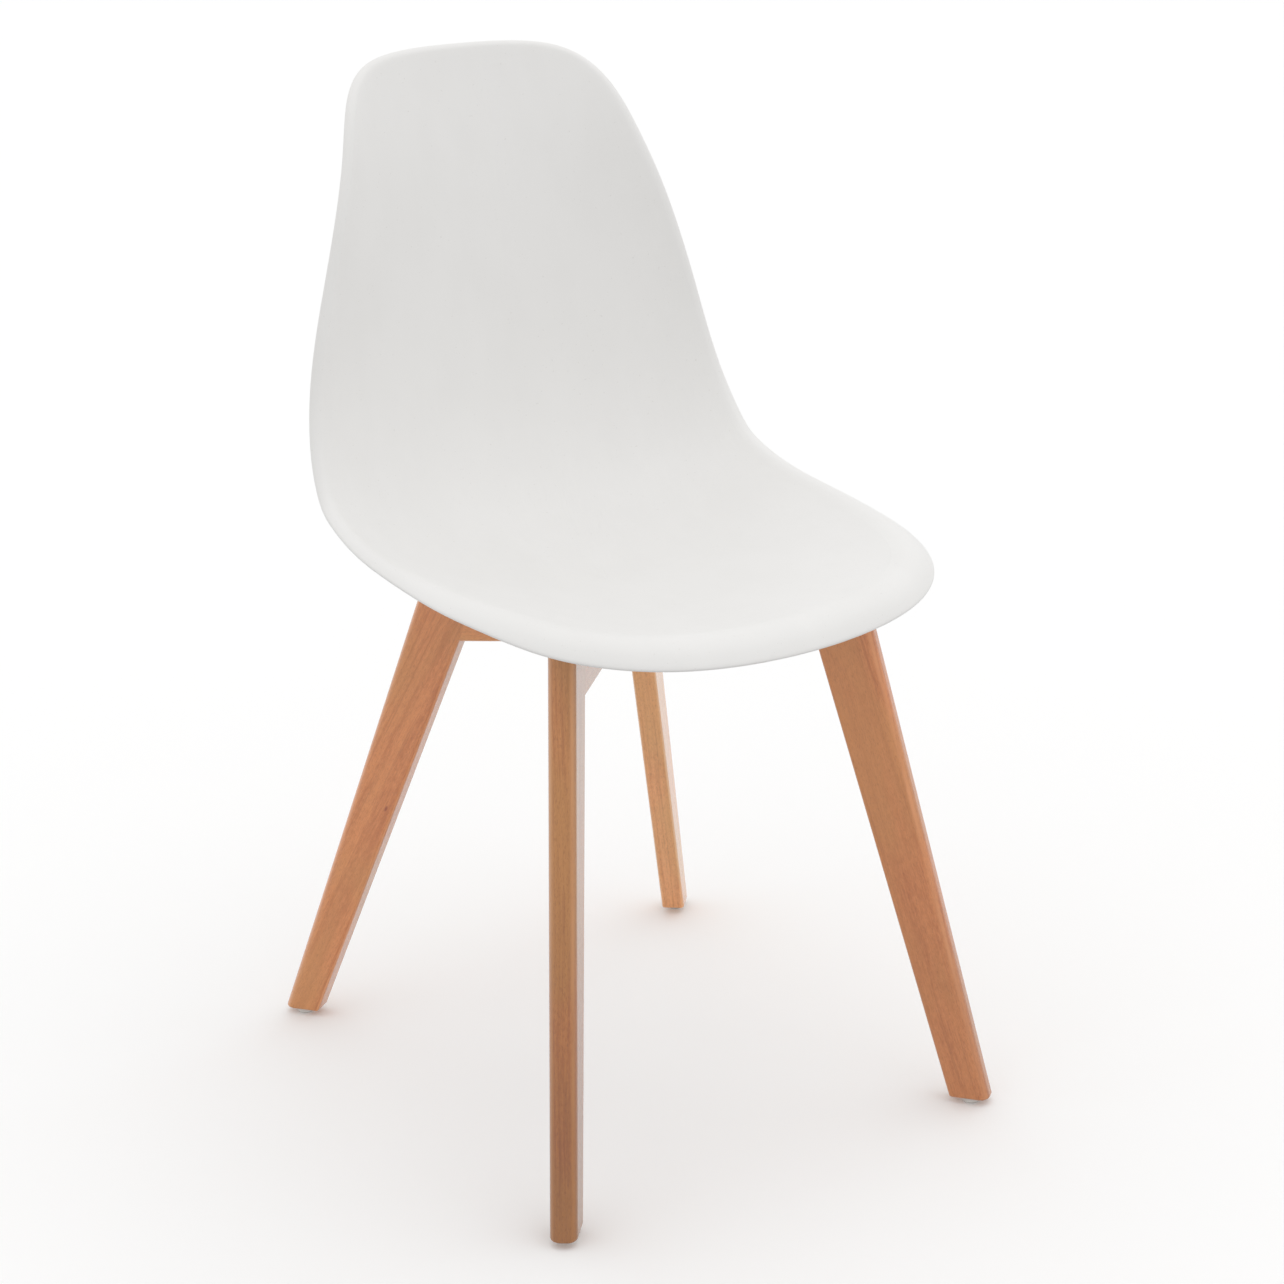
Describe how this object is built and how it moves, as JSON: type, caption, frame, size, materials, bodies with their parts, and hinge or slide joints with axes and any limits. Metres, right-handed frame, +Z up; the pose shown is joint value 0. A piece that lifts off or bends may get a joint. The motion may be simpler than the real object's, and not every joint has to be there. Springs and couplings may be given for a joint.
{
  "type": "dining chair",
  "caption": "Armless dining chair: one-piece moulded plastic bucket seat on a crossed beech frame with splayed flat tapered legs and plastic glides.",
  "frame": {"origin": "floor level, on the mid plane, halfway between the frontmost and rearmost points", "axes": "+Z up, the sitter faces -Y, +X to the sitter's left"},
  "size_m": [0.4148, 0.5135, 0.8273],
  "materials": {
    "shell_plastic": "satin moulded polypropylene, white",
    "beech": "clear matt lacquered beech",
    "dowel_beech": "raw beech",
    "glide_plastic": "translucent nylon",
    "zinc_steel": "zinc plated",
    "brass": "turned brass"
  },
  "bodies": {
    "root": {"seat_shell": "shell_plastic", "leg_front_left": "beech", "leg_front_right": "beech", "leg_back_left": "beech", "leg_back_right": "beech", "rail_lower": "beech", "rail_upper": "beech", "leg_dowels": "dowel_beech", "seat_bolts": "zinc_steel", "bolt_washers": "zinc_steel", "threaded_inserts": "brass", "lap_screw": "zinc_steel", "glide_front_left": "glide_plastic", "glide_front_right": "glide_plastic", "glide_back_left": "glide_plastic", "glide_back_right": "glide_plastic", "glide_nails": "zinc_steel"}
  },
  "joints": []
}
